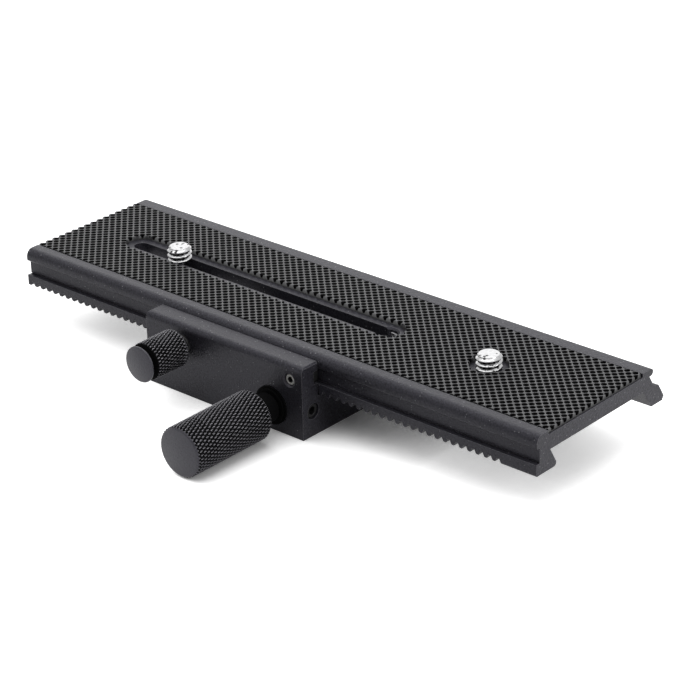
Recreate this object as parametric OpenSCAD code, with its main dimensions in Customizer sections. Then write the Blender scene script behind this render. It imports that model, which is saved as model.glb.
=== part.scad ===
// Macro focusing rail: a rack-driven plate that slides on a carriage block.
// +X runs along the rail, +Y away from the knobs, +Z up. The origin is the mouth of the tripod thread.

/* [Rail plate] */
// Length of the rail
rail_l = 165.5; // [150:0.5:180]
// Width over the two beads
plate_w = 44; // [42:0.1:48]
// Height from the feet to the lips
rail_h = 9.95; // [9:0.05:12]
// Thickness of the plate, from the lips to its underside
plate_t = 4.95; // [4.5:0.05:5.5]
// Depth of the pad's recess below the lips
recess_d = 1.05; // [0.8:0.05:1.4]
// Radius of the near bead
bead_r = 2; // [1.5:0.1:2.4]
// Height of the near bead
bead_h = 3.25; // [2.8:0.05:3.6]
// Radius of the near bead's lower edge
bead_edge_r = 0.55; // [0.3:0.05:0.7]
// How far the near waist lies inside the bead
waist_in = 1.05; // [0.7:0.05:1.3]
// Height of the near foot
foot_h = 2.95; // [2.5:0.05:3.2]
// How far the near foot stands out past the bead
foot_out = 0.15; // [0:0.05:0.4]
// Height of the relief groove above the near foot
groove_h = 0.2; // [0.15:0.05:0.5]
// Depth of the relief groove
groove_d = 0.25; // [0.2:0.05:0.5]
// Width of the near leg where it meets the plate
near_leg_w = 4.9; // [4:0.1:5.5]
// Width of the near foot inside the bead's line
near_foot_w = 7.15; // [6.5:0.05:7.8]
// Rounding of the feet
foot_edge = 0.35; // [0.2:0.05:0.5]
// Rounding of the near foot's inner corner
foot_round_r = 0.9; // [0.5:0.05:1.2]
// Radius of the far bead
far_bead_r = 0.9; // [0.6:0.05:1]
// How far the slanted far foot stands out past the bead
far_out = 4.65; // [4:0.05:5.2]
// Thickness of the far foot
far_leg_t = 4.35; // [3.8:0.05:5]
// How far inside the bead's line the far leg starts
far_root_in = 3.7; // [3.2:0.1:4.2]

/* [Slot and camera screws] */
// Width of the slot
slot_w = 4.05; // [3.9:0.05:4.4]
// Distance of the slot's near end from the rail's left end
slot_start = 18.05; // [17:0.1:22]
// Length of the slot
slot_l = 88.45; // [70:0.5:95]
// Width of the ledge that the pad leaves round the slot
slot_ledge = 2.1; // [1.8:0.1:2.6]
// Bore of the tapped holes that the camera screws pass
tap_r = 2.6; // [2.5:0.05:2.8]
// Chamfer of the tapped holes
tap_chamfer = 0.45; // [0.2:0.05:0.6]
// Place of the slot screw from the rail's left end
slot_screw_x = 34; // [24:0.5:90]
// Place of the rear screw from the rail's right end
rear_screw_in = 30.7; // [20:0.1:34]
// Radius of the pad's opening round the rear screw
rear_opening_r = 4.75; // [4.3:0.05:5.5]
// Radius of the camera thread
stud_r = 3.175; // [3.1:0.025:3.3]
// How far the camera threads stand above the lips
stud_proud = 2.7; // [2:0.1:4]
// Chamfer of the camera threads
stud_chamfer = 0.5; // [0.3:0.05:0.8]
// Radius of the camera screws' necks
neck_r = 1.9; // [1.7:0.05:1.92]
// End play of the camera screws
screw_play = 1; // [0.8:0.05:1.1]
// Radius of the camera screws' heads
head_r = 7.5; // [6:0.1:8.5]
// Height of the camera screws' heads
head_h = 3.4; // [2.6:0.1:3.6]
// Width of the coin slot
coin_w = 1.6; // [1.2:0.1:2]
// Depth of the coin slot
coin_d = 1.2; // [0.8:0.1:1.6]
// Radius of the washers on the heads
washer_r = 6; // [5:0.1:7]
// Thickness of the washers
washer_t = 0.5; // [0.3:0.05:0.6]

/* [Grip pad] */
// Width of each lip beside the pad's recess
lip_w = 4.1; // [3.6:0.05:4.8]
// Gap between the pad and the lips
pad_gap = 0.25; // [0.1:0.05:0.4]
// Distance of the pad's end from the rail's right end
pad_end_in = 0.4; // [0.1:0.1:1]
// How far the pad's ridges stand above the lips
pad_proud = 0.15; // [0:0.05:0.4]
// Distance between two neighbouring ridges of one direction
ridge_pitch = 1.6; // [1.2:0.05:2]
// Steps of the ridge pitch from one ridge of the solid to its next
ridge_step = 4; // [3:1:6]
// Width of a ridge
ridge_w = 0.4; // [0.3:0.05:0.8]
// Height of a ridge over the pad's sheet
ridge_h = 0.5; // [0.3:0.05:0.7]

/* [Rack and pinion] */
// Gear module
gear_module = 0.75; // [0.7:0.01:0.8]
// Number of pinion teeth
pinion_teeth = 11; // [10:1:12]
// Length of the plain foot after the rack
rack_plain_l = 9.9; // [5:0.1:20]
// Centre of the first gap from the rail's left end
rack_first = 1.66; // [1.3:0.02:2]
// Height of a tooth above the pitch line
tooth_add = 0.55; // [0.5:0.01:0.65]
// Depth of a tooth below the pitch line
tooth_ded = 0.65; // [0.6:0.01:0.8]
// Play between the teeth
backlash = 0.12; // [0.08:0.01:0.2]
// Radius of the pinion shaft
shaft_r = 2; // [1.8:0.05:2.2]

/* [Carriage] */
// Length of the carriage along the rail
carriage_l = 51.5; // [48:0.5:60]
// Thickness of the carriage under the rail
floor_h = 9.85; // [9.4:0.05:12]
// Thickness of the near wall outside the rail's foot
near_wall_t = 5.4; // [5:0.1:7]
// Thickness of the far wall outside the rail's foot
far_wall_t = 4.1; // [4:0.1:7]
// Drop of the far wall's top below the rail's lips
far_wall_drop = 6.2; // [6.1:0.05:6.6]
// Drop of the near wall's top below the rail's lips
ledge_drop = 1.15; // [0.9:0.05:1.4]
// Rounding of the walls' top edges
wall_edge_r = 1.6; // [0.8:0.1:2.2]
// Bevel of the carriage's ends
end_bevel = 0.45; // [0.2:0.05:0.8]
// Distance from the rail's left end to the carriage's middle, at rest
rail_rest = 75.4; // [60:0.2:90]

/* [Focus drive] */
// Distance of the focus shaft from the carriage's right end
focus_in = 9.95; // [9.5:0.05:13]
// Radius of the front bush, which the pinion passes on assembly
front_bush_r = 4.9; // [4.85:0.01:4.95]
// How far the front bush stands out of the carriage
bush_proud = 0.4; // [0.2:0.05:0.8]
// Outer radius of the rear bush
rear_bush_r = 3; // [2.8:0.05:3.4]
// Length of the rear bush
rear_bush_l = 4.9; // [4:0.1:6]
// Radius of the thrust washer
thrust_r = 4.4; // [4:0.05:4.8]
// Thickness of the thrust washer
thrust_t = 0.4; // [0.3:0.05:0.6]
// Radius of the focus knob
focus_knob_r = 6.35; // [5.5:0.05:6.4]
// Length of the focus knob's grip
focus_knob_l = 24.8; // [18:0.1:30]
// Radius of the neck behind the grip
focus_neck_r = 3.65; // [3.5:0.05:4.4]
// Length of the neck
focus_neck_l = 5.35; // [4.5:0.05:7]
// Depth of the shaft's bore in the knob
focus_bore_l = 20; // [14:0.5:22]
// Chamfer of the knobs
knob_chamfer = 0.45; // [0.2:0.05:0.8]

/* [Lock] */
// Distance of the lock screw from the carriage's left end
lock_in = 12.35; // [7:0.05:16]
// Drop of the lock screw's axis below the lips
lock_drop = 6.3; // [5.4:0.05:6.4]
// Radius of the lock knob
lock_knob_r = 4.83; // [4:0.01:6]
// Length of the lock knob
lock_knob_l = 12.65; // [10:0.05:16]
// Gap between the lock knob and the carriage
lock_knob_gap = 2.1; // [1.5:0.1:4]
// Radius of the lock screw
lock_screw_r = 2.5; // [2.3:0.05:2.5]
// Depth of the lock screw in its knob
lock_bore_l = 9; // [6:0.1:11]
// Radius of the brass tip
lock_tip_r = 1.9; // [1.5:0.05:1.95]
// Length of the brass tip
lock_tip_l = 1.25; // [1:0.05:1.5]

/* [Gib and set screws] */
// Thickness of the gib strip
gib_t = 2.55; // [2.2:0.05:3]
// How far the gib ends inside the carriage's ends
gib_end_in = 1; // [0.5:0.1:3]
// Distance of the gib screw from the carriage's right end
gib_screw_in = 4.05; // [3.5:0.05:5]
// Drop of the gib screw below the lips
gib_screw_drop = 5.25; // [5:0.05:5.4]
// Radius of the gib screw
gib_screw_r = 1.5; // [1.2:0.05:1.5]
// Depth of the set screws in their holes
screw_recess = 0.45; // [0.2:0.05:0.8]
// Radius of the tension screw
tension_screw_r = 2; // [1.8:0.05:2.2]
// Length of the tension screw
tension_screw_l = 4; // [3:0.1:4.2]
// Distance of the tension screw behind the carriage's front
tension_in = 3.7; // [3.2:0.05:4]
// Radius of the friction plug
plug_r = 1.4; // [1.1:0.05:1.6]
// Radius of the knob's set screw
knob_screw_r = 1.5; // [1.2:0.05:1.6]
// Angle of the knob's set screw above the rail's direction
knob_screw_angle = 205; // [0:5:355]
// Width across the flats of a set screw's socket, as a share of its diameter
socket_share = 0.5; // [0.4:0.05:0.6]

/* [Tripod thread and stop] */
// Bore of the quarter inch tripod thread
tripod_r = 2.6; // [2.5:0.05:2.8]
// Outer radius of the reducer bush
reducer_r = 4.5; // [4:0.05:4.7]
// Outer radius of the steel insert
insert_r = 6; // [5.6:0.1:7]
// Length of the insert and the reducer bush
insert_l = 8; // [6:0.1:8.2]
// Radius of the stop pin
stop_r = 1.5; // [1.2:0.1:2]
// Place of the stop pin from the rail's left end
stop_x = 4.5; // [4:0.1:6]
// Depth of the stop pin in the plate
stop_in = 2.5; // [1.5:0.1:3]
// How far the stop pin reaches below the carriage's floor
stop_reach = 0.8; // [0.5:0.1:1.5]

/* [Clearances] */
// Gap between the rail and the carriage
slide_gap = 0.2; // [0.15:0.01:0.3]
// Radial gap of a shaft in its bush
run_gap = 0.03; // [0.02:0.01:0.06]
// Gap of pieces that are pressed or screwed together
seat_gap = 0.02; // [0.01:0.01:0.04]
// Gap between a piece's end and what stops it
end_gap = 0.1; // [0.05:0.01:0.2]

/* [Hidden] */
$fn = 64;
hex_sides = 6;
arc_steps = 8;
pressure_angle = 25;
// Overrun of every cut
cut = plate_t / 5;

half_w = plate_w / 2;
pad_w = plate_w - 2 * lip_w;
foot_z = floor_h + slide_gap;
lip_z = foot_z + rail_h;
under_z = lip_z - plate_t;
ledge_z = lip_z - ledge_drop;
far_wall_z = lip_z - far_wall_drop;
rail_x = -rail_rest;
near_foot_y = -half_w - foot_out;
near_waist_y = -half_w + waist_in;
foot_top_z = foot_z + foot_h;
focus_x = carriage_l / 2 - focus_in;
lock_x = lock_in - carriage_l / 2;
gib_screw_x = carriage_l / 2 - gib_screw_in;

front_y = near_foot_y - slide_gap - near_wall_t;
back_y = half_w + far_out + slide_gap + far_wall_t;

pitch = PI * gear_module;
rack_gaps = 1 + floor((rail_l - rack_plain_l - rack_first) / pitch);
pinion_r = gear_module * pinion_teeth / 2;
pitch_z = foot_z + tooth_add;
focus_z = pitch_z - pinion_r;
pinion_tip_r = pinion_r + tooth_add;
pinion_root_r = pinion_r - tooth_ded;
pinion_base_r = pinion_r * cos(pressure_angle);
pinion_front_y = near_foot_y;
pinion_back_y = -half_w + near_foot_w;
chamber_back_y = pinion_back_y + slide_gap;
bush_back_y = pinion_front_y - slide_gap;
bush_front_y = front_y - bush_proud;
rear_bush_back_y = chamber_back_y + rear_bush_l;
neck_back_y = bush_front_y - thrust_t - 2 * end_gap;

gib_inner_y = near_waist_y - end_gap;
gib_outer_y = gib_inner_y - gib_t;
gib_low_z = foot_top_z + slide_gap;
gib_top_z = lip_z - bead_h - slide_gap;
lock_z = lip_z - lock_drop;
lock_back_y = front_y - lock_knob_gap;
lock_tip_back_y = gib_outer_y - run_gap;
lock_stud_end_y = lock_tip_back_y - lock_tip_l;
gib_screw_z = lip_z - gib_screw_drop;
tension_y = front_y + tension_in;

recess_z = lip_z - recess_d;
stud_base_z = recess_z + end_gap / 2;
head_top_z = under_z - screw_play;
slot_r = slot_w / 2;
opening_r = slot_r + slot_ledge;
pad_l = rail_l - pad_end_in;
cell = ridge_step * ridge_pitch;
slot_end = slot_start + slot_l;
rear_screw_x = rail_l - rear_screw_in;

// Outline of the far leg, as shares of far_out sideways and of rail_h downwards
far_leg_shares = [
    [-0.30, -0.18], [0.02, -0.42], [0.19, -0.505], [0.345, -0.5],
    [0.505, -0.53], [0.68, -0.655], [1, -0.895], [0.87, -1]
];
far_side = 5;
far_toe = 6;
far_sole = 7;
// Point on the near foot's rounded corner, as a share of the rounding
foot_corner_share = 0.3;
// Rounded crests of the rack: height as a share of tooth_add, width as a share of the crest's flat
crest_high_share = 0.4;
crest_wide_share = 0.7;
// Middle point of a crest's rounding, as shares of its width and height
crest_corner_shares = [0.2, 0.25];
// Chamfer of a set screw, as a share of its radius
screw_edge_share = 0.16;
// Chamfer of a camera screw's head, as a share of its height
head_rim_share = 0.125;
// Mouth of the gib screw's hole: its depth and its widening, as a share of the screw's radius
mouth_share = 0.4;

function far_point(i) = [
    half_w + far_leg_shares[i][0] * far_out,
    lip_z + far_leg_shares[i][1] * rail_h
];
function arc(c, r, from, to) = [
    for (i = [0 : arc_steps])
        let (a = from + (to - from) * i / arc_steps)
        [c[0] + r * cos(a), c[1] + r * sin(a)]
];
function radians(a) = a * PI / 180;
function degrees(a) = a * 180 / PI;
function involute(a) = tan(a) - radians(a);

// Lays a profile in Y and Z along the rail's direction
module along_x(start, length) {
    translate([start, 0, 0])
        rotate([90, 0, 90])
            linear_extrude(length)
                children();
}

// Turns a shape whose local Z then points to the front
module to_front(x, y, z) {
    translate([x, y, z])
        rotate([90, 0, 0])
            children();
}

module ring(outer, inner, height) {
    difference() {
        cylinder(r = outer, h = height);
        translate([0, 0, -cut])
            cylinder(r = inner, h = height + 2 * cut);
    }
}

module set_screw(r, length) {
    edge = screw_edge_share * r;
    across = 2 * r * socket_share;
    difference() {
        rotate_extrude()
            polygon([[0, 0], [r - edge, 0], [r, edge], [r, length - edge], [r - edge, length], [0, length]]);
        translate([0, 0, length - across])
            cylinder(d = across / cos(180 / hex_sides), h = across + cut, $fn = hex_sides);
    }
}

module capsule(from, to, r) {
    translate([from + r, 0])
        circle(r);
    translate([to - r, 0])
        circle(r);
    translate([from + r, -r])
        square([to - from - 2 * r, 2 * r]);
}

module rail_profile() {
    polygon(concat(
        [[-pad_w / 2, recess_z], [-pad_w / 2, lip_z]],
        arc([-half_w + bead_r, lip_z - bead_r], bead_r, 90, 180),
        arc([-half_w + bead_edge_r, lip_z - bead_h + bead_edge_r], bead_edge_r, 180, 250),
        [
            [near_waist_y, lip_z - bead_h],
            [near_waist_y, foot_top_z + groove_h],
            [near_waist_y + groove_d, foot_top_z + groove_h],
            [near_waist_y + groove_d, foot_top_z],
            [near_foot_y, foot_top_z],
            [near_foot_y, foot_z + foot_edge],
            [near_foot_y + foot_corner_share * foot_edge, foot_z + foot_corner_share * foot_edge],
            [near_foot_y + foot_edge, foot_z]
        ],
        arc([-half_w + near_foot_w - foot_round_r, foot_z + foot_round_r], foot_round_r, -90, 15),
        [
            [-half_w + near_leg_w, under_z],
            [half_w - far_root_in, under_z],
            [far_point(far_sole)[0] - far_leg_t, foot_z]
        ],
        [for (i = [far_sole : -1 : 0]) far_point(i)],
        arc([half_w - far_bead_r, lip_z - far_bead_r], far_bead_r, -90, 90),
        [[pad_w / 2, lip_z], [pad_w / 2, recess_z]]
    ));
}

module rack_gap() {
    slope = tan(pressure_angle);
    half = pitch / 4 + backlash / 2;
    root = half - tooth_ded * slope;
    crest = half + tooth_add * slope;
    round_h = crest_high_share * tooth_add;
    round_w = crest_wide_share * (pitch / 2 - crest);
    side = [
        [crest + round_w, -tooth_add - cut], [crest + round_w, -tooth_add],
        [crest + crest_corner_shares[0] * round_w, crest_corner_shares[1] * round_h - tooth_add],
        [crest - round_h * slope, round_h - tooth_add], [root, tooth_ded]
    ];
    polygon(concat(side, [for (i = [len(side) - 1 : -1 : 0]) [-side[i][0], side[i][1]]]));
}

module tapped_hole(x) {
    translate([x, 0, under_z - cut])
        cylinder(r = tap_r, h = plate_t + 2 * cut);
    translate([x, 0, recess_z - tap_chamfer])
        cylinder(r1 = tap_r, r2 = tap_r + 2 * tap_chamfer, h = 2 * tap_chamfer);
}

module rail_plate() {
    color("#2b2b2e")
    difference() {
        along_x(rail_x, rail_l)
            rail_profile();
        translate([rail_x, 0, under_z - cut])
            linear_extrude(plate_t + cut)
                capsule(slot_start, slot_end, slot_r);
        tapped_hole(rail_x + slot_end - tap_r);
        tapped_hole(rail_x + rear_screw_x);
        translate([rail_x + stop_x, 0, under_z - cut])
            cylinder(r = stop_r, h = stop_in + cut);
        to_front(rail_x + rack_first, -half_w + near_foot_w + cut, pitch_z)
            linear_extrude(near_foot_w + foot_out + 2 * cut)
                for (i = [0 : rack_gaps - 1])
                    translate([i * pitch, 0])
                        rack_gap();
    }
}

// Square pits between the pad's main ridges, which cross at right angles and run slantwise to the rail
module ridge_pits() {
    half_l = pad_l / 2 + cell;
    half_pad = pad_w / 2 + cell;
    reach = ceil((half_l + half_pad) / cell);
    slant = cell / sqrt(2);
    for (i = [-reach : reach])
        for (j = [-reach : reach])
            let (x = (i - j) * slant, y = (i + j + 1) * slant)
                if (abs(x) < half_l && abs(y) < half_pad)
                    translate([x, y])
                        rotate(45)
                            square(cell - ridge_w, center = true);
}

module grip_pad() {
    color("#161618")
    difference() {
        translate([rail_x, -pad_w / 2 + pad_gap, recess_z])
            cube([pad_l, pad_w - 2 * pad_gap, recess_d + pad_proud]);
        translate([rail_x + pad_l / 2, 0, lip_z + pad_proud - ridge_h])
            linear_extrude(ridge_h + cut)
                ridge_pits();
        translate([rail_x, 0, recess_z - cut])
            linear_extrude(recess_d + pad_proud + 2 * cut)
                capsule(slot_start - slot_ledge, slot_end + slot_ledge, opening_r);
        translate([rail_x + rear_screw_x, 0, recess_z - cut])
            cylinder(r = rear_opening_r, h = recess_d + pad_proud + 2 * cut);
    }
}

module stop_pin() {
    color("silver")
    translate([rail_x + stop_x, 0, floor_h - stop_reach])
        cylinder(r = stop_r, h = under_z + stop_in - floor_h + stop_reach);
}

module camera_screw(x) {
    top_z = lip_z + stud_proud;
    low_z = head_top_z - head_h;
    rim = head_rim_share * head_h;
    translate([rail_x + x, 0, 0])
        difference() {
            rotate_extrude()
                polygon([
                    [0, low_z], [head_r - rim, low_z], [head_r, low_z + rim],
                    [head_r, head_top_z - rim], [head_r - rim, head_top_z], [neck_r, head_top_z],
                    [neck_r, stud_base_z], [stud_r, stud_base_z],
                    [stud_r, top_z - stud_chamfer], [stud_r - stud_chamfer, top_z], [0, top_z]
                ]);
            translate([-head_r - cut, -coin_w / 2, low_z - cut])
                cube([2 * (head_r + cut), coin_w, coin_d + cut]);
        }
}

module screw_washer(x) {
    translate([rail_x + x, 0, head_top_z + seat_gap])
        ring(washer_r, neck_r + run_gap, washer_t);
}

module slot_camera_screw() {
    color("#d8d8d8") camera_screw(slot_screw_x);
}

module slot_screw_washer() {
    color("#202022") screw_washer(slot_screw_x);
}

module rear_camera_screw() {
    color("#d8d8d8") camera_screw(rear_screw_x);
}

module rear_screw_washer() {
    color("#202022") screw_washer(rear_screw_x);
}

module carriage_profile() {
    side = far_point(far_side);
    toe = far_point(far_toe);
    polygon(concat(
        [[back_y, 0], [front_y, 0]],
        arc([front_y + wall_edge_r, ledge_z - wall_edge_r], wall_edge_r, 180, 90),
        [
            [-half_w - slide_gap, ledge_z],
            [-half_w - slide_gap, gib_top_z],
            [gib_outer_y - seat_gap, gib_top_z],
            [gib_outer_y - seat_gap, gib_low_z - seat_gap],
            [near_foot_y - slide_gap, gib_low_z - seat_gap],
            [near_foot_y - slide_gap, floor_h],
            [toe[0] + slide_gap, floor_h],
            [toe[0] + slide_gap, toe[1]],
            [side[0] + slide_gap, side[1] + slide_gap],
            [side[0] + slide_gap, far_wall_z]
        ],
        arc([back_y - wall_edge_r, far_wall_z - wall_edge_r], wall_edge_r, 90, 0)
    ));
}

// Wedge that bevels the top of one of the carriage's ends
module end_bevel_cut(side, from, to, z) {
    translate([side * carriage_l / 2, to, z])
        rotate([90, 0, 0])
            linear_extrude(to - from)
                polygon([
                    [-side * end_bevel, cut], [-side * end_bevel, 0], [0, -end_bevel],
                    [side * cut, -end_bevel], [side * cut, cut]
                ]);
}

module carriage_body() {
    color("#232326")
    difference() {
        along_x(-carriage_l / 2, carriage_l)
            carriage_profile();
        for (side = [-1, 1]) {
            end_bevel_cut(side, front_y - cut, 0, ledge_z);
            end_bevel_cut(side, 0, back_y + cut, far_wall_z);
        }
        // Bore of the front bush and the pinion, and behind it that of the rear bush
        to_front(focus_x, chamber_back_y, focus_z)
            cylinder(r = front_bush_r + seat_gap, h = chamber_back_y - front_y + cut);
        to_front(focus_x, rear_bush_back_y + end_gap, focus_z)
            cylinder(r = rear_bush_r + seat_gap, h = rear_bush_l + end_gap + cut);
        // Lock screw, with room for its tip to reach past the pocket
        to_front(lock_x, gib_outer_y - seat_gap, lock_z)
            cylinder(r = lock_screw_r + run_gap, h = gib_outer_y - front_y + cut);
        to_front(lock_x, near_foot_y - 2 * slide_gap, lock_z)
            cylinder(r = lock_tip_r + run_gap, h = near_foot_y - gib_outer_y);
        to_front(gib_screw_x, gib_outer_y - seat_gap, gib_screw_z)
            cylinder(r = gib_screw_r + seat_gap, h = gib_outer_y - front_y + cut);
        to_front(gib_screw_x, front_y + mouth_share * gib_screw_r / 2, gib_screw_z)
            cylinder(
                r1 = gib_screw_r, r2 = gib_screw_r + mouth_share * gib_screw_r, h = mouth_share * gib_screw_r
            );
        translate([focus_x, tension_y, focus_z])
            rotate([0, 90, 0])
                cylinder(r = tension_screw_r + seat_gap, h = carriage_l);
        translate([0, 0, -cut])
            cylinder(r = insert_r + seat_gap, h = insert_l + seat_gap + cut);
    }
}

module gib_strip() {
    color("#202022")
    translate([-carriage_l / 2 + gib_end_in, gib_outer_y, gib_low_z])
        cube([carriage_l - 2 * gib_end_in, gib_t, gib_top_z - gib_low_z - seat_gap]);
}

module gib_set_screw() {
    color("silver")
    to_front(gib_screw_x, gib_outer_y - run_gap, gib_screw_z)
        set_screw(gib_screw_r, gib_outer_y - run_gap - front_y - screw_recess);
}

module tension_set_screw() {
    color("#1c1c1e")
    translate([carriage_l / 2 - screw_recess - tension_screw_l, tension_y, focus_z])
        rotate([0, 90, 0])
            set_screw(tension_screw_r, tension_screw_l);
}

module friction_plug() {
    start = focus_x + shaft_r + run_gap;
    stop = carriage_l / 2 - screw_recess - tension_screw_l - seat_gap;
    color("#e8e4d8")
    translate([start, tension_y, focus_z])
        rotate([0, 90, 0])
            cylinder(r = plug_r, h = stop - start);
}

module front_bush() {
    color("#1a1a1c")
    difference() {
        to_front(focus_x, bush_back_y, focus_z)
            ring(front_bush_r, shaft_r + run_gap, bush_back_y - bush_front_y);
        translate([focus_x, tension_y, focus_z])
            rotate([0, 90, 0])
                cylinder(r = plug_r + seat_gap, h = front_bush_r + cut);
    }
}

module rear_bush() {
    color("#a8843c")
    to_front(focus_x, rear_bush_back_y, focus_z)
        ring(rear_bush_r, shaft_r + run_gap, rear_bush_l - end_gap);
}

module tripod_insert() {
    color("#8c8c90")
    ring(insert_r, reducer_r + seat_gap, insert_l);
}

module reducer_bush() {
    color("#b9b9bc")
    ring(reducer_r, tripod_r, insert_l);
}

module pinion_shaft() {
    color("#c4c4c8")
    to_front(focus_x, rear_bush_back_y - end_gap, focus_z)
        cylinder(r = shaft_r, h = rear_bush_back_y - neck_back_y + focus_bore_l - 2 * end_gap);
}

module pinion_profile() {
    thickness = pitch / 2 - backlash / 2;
    steps = 4;
    flank = [
        for (i = [0 : steps])
            let (r = pinion_base_r + (pinion_tip_r - pinion_base_r) * i / steps)
            let (a = degrees(thickness / 2 / pinion_r + involute(pressure_angle)
                - involute(acos(min(1, pinion_base_r / r)))))
            [r, a]
    ];
    foot = [pinion_root_r, flank[0][1]];
    right = concat([foot], flank);
    polygon([
        for (t = [0 : pinion_teeth - 1])
            let (c = 90 + t * 360 / pinion_teeth)
            for (p = concat(
                [for (q = right) [q[0], c - q[1]]],
                [for (i = [len(right) - 1 : -1 : 0]) [right[i][0], c + right[i][1]]]
            ))
                [p[0] * cos(p[1]), p[0] * sin(p[1])]
    ]);
}

module pinion_gear() {
    // The tooth that points up is turned to meet the nearest gap of the rack
    gap_x = rail_x + rack_first + pitch * round((focus_x - rail_x - rack_first) / pitch);
    turn = degrees((gap_x - focus_x) / pinion_r);
    color("#b8953f")
    to_front(focus_x, pinion_back_y, focus_z)
        rotate([0, 0, -turn])
            difference() {
                linear_extrude(pinion_back_y - pinion_front_y)
                    pinion_profile();
                translate([0, 0, -cut])
                    cylinder(r = shaft_r + seat_gap / 2, h = pinion_back_y - pinion_front_y + 2 * cut);
            }
}

module focus_thrust_washer() {
    color("#2a2a2c")
    to_front(focus_x, bush_front_y - end_gap, focus_z)
        ring(thrust_r, shaft_r + run_gap, thrust_t);
}

module focus_knob() {
    end = focus_neck_l + focus_knob_l;
    color("#262628")
    difference() {
        to_front(focus_x, neck_back_y, focus_z)
            rotate_extrude()
                polygon([
                    [shaft_r + seat_gap / 2, 0], [focus_neck_r, 0], [focus_neck_r, focus_neck_l],
                    [focus_knob_r - knob_chamfer, focus_neck_l], [focus_knob_r, focus_neck_l + knob_chamfer],
                    [focus_knob_r, end - knob_chamfer], [focus_knob_r - knob_chamfer, end], [0, end],
                    [0, focus_bore_l], [shaft_r + seat_gap / 2, focus_bore_l]
                ]);
        knob_screw_place(0)
            cylinder(r = knob_screw_r + seat_gap, h = focus_neck_r + cut);
    }
}

// Puts a shape on the knob's radial screw axis, its Z pointing out of the neck
module knob_screw_place(out) {
    translate([focus_x, neck_back_y - focus_neck_l / 2, focus_z])
        rotate([0, 90 - knob_screw_angle, 0])
            translate([0, 0, out])
                children();
}

module focus_knob_set_screw() {
    color("#1c1c1e")
    knob_screw_place(shaft_r + run_gap)
        set_screw(knob_screw_r, focus_neck_r - shaft_r - 2 * run_gap);
}

module lock_knob() {
    r = lock_knob_r;
    color("#262628")
    to_front(lock_x, lock_back_y, lock_z)
        rotate_extrude()
            polygon([
                [lock_screw_r + seat_gap, 0], [r - knob_chamfer, 0], [r, knob_chamfer],
                [r, lock_knob_l - knob_chamfer], [r - knob_chamfer, lock_knob_l], [0, lock_knob_l],
                [0, lock_bore_l], [lock_screw_r + seat_gap, lock_bore_l]
            ]);
}

module lock_screw() {
    color("#9a9a9e")
    to_front(lock_x, lock_stud_end_y, lock_z)
        cylinder(r = lock_screw_r, h = lock_stud_end_y - lock_back_y + lock_bore_l - end_gap);
}

module lock_tip() {
    color("#b8953f")
    to_front(lock_x, lock_tip_back_y, lock_z)
        cylinder(r = lock_tip_r, h = lock_tip_l - seat_gap);
}

rail_plate();
grip_pad();
stop_pin();
slot_camera_screw();
slot_screw_washer();
rear_camera_screw();
rear_screw_washer();
carriage_body();
gib_strip();
gib_set_screw();
tension_set_screw();
friction_plug();
front_bush();
rear_bush();
tripod_insert();
reducer_bush();
pinion_shaft();
pinion_gear();
focus_thrust_washer();
focus_knob();
focus_knob_set_screw();
lock_knob();
lock_screw();
lock_tip();
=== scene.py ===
"""Dresses the packed macro focusing rail: knurls, threads, pad ridges, finishes, floor, lamps and camera."""

import math

import bmesh
import bpy
from bpy.props import FloatProperty, FloatVectorProperty, IntProperty, PointerProperty
from mathutils import Matrix, Vector


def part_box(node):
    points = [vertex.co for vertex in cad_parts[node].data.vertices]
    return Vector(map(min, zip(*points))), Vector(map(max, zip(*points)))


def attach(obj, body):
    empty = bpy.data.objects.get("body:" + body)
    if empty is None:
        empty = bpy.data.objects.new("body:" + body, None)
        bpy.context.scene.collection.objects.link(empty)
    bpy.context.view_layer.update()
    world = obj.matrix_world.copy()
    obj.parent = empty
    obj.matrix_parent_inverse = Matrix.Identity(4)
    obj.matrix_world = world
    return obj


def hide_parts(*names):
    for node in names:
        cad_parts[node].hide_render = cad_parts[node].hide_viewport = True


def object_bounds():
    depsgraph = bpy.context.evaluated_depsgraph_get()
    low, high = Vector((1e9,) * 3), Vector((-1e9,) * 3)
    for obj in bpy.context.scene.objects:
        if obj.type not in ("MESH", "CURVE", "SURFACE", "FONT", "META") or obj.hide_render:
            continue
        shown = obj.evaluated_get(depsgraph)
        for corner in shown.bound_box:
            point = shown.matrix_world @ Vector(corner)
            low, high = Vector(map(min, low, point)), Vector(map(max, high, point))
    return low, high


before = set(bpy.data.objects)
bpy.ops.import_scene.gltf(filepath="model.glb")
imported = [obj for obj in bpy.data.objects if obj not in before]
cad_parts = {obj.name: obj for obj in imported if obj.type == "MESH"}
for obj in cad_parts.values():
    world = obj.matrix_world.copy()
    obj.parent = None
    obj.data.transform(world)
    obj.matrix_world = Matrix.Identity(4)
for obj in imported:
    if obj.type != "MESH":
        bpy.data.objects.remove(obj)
CAD_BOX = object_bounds()

bl_info = {
    "name": "Focusing rail looks",
    "version": (1, 0, 0),
    "blender": (4, 5, 0),
    "location": "3D View > Sidebar > Focusing Rail",
    "description": "Gives the packed focusing rail its knurls, threads, pad ridges and finishes",
    "category": "Object",
}

MM = 0.001
HAIR = 0.01 * MM
UP = Vector((0, 0, 1))
FRONT = Vector((0, -1, 0))
SHARP_ANGLE = 40
# Rows marked with this wear the second material between them: painted shade.
PAINTED_SHADE_ROW = 2
VIEW_TURNS = (42.051, 25.567, -1.494)
VIEW_TARGET = Vector((10.615, 2.771, 10.495)) * MM
VIEW_DISTANCE = 609.07


def length(name, description, default, **more):
    """A property that holds a size in metres."""
    return FloatProperty(
        name=name, description=description, default=default, min=0, unit="LENGTH", subtype="DISTANCE",
        precision=5, **more
    )


def colour(name, description, default):
    """A property that holds a linear colour."""
    return FloatVectorProperty(
        name=name, description=description, default=default, size=3, min=0, max=1, subtype="COLOR"
    )


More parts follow.
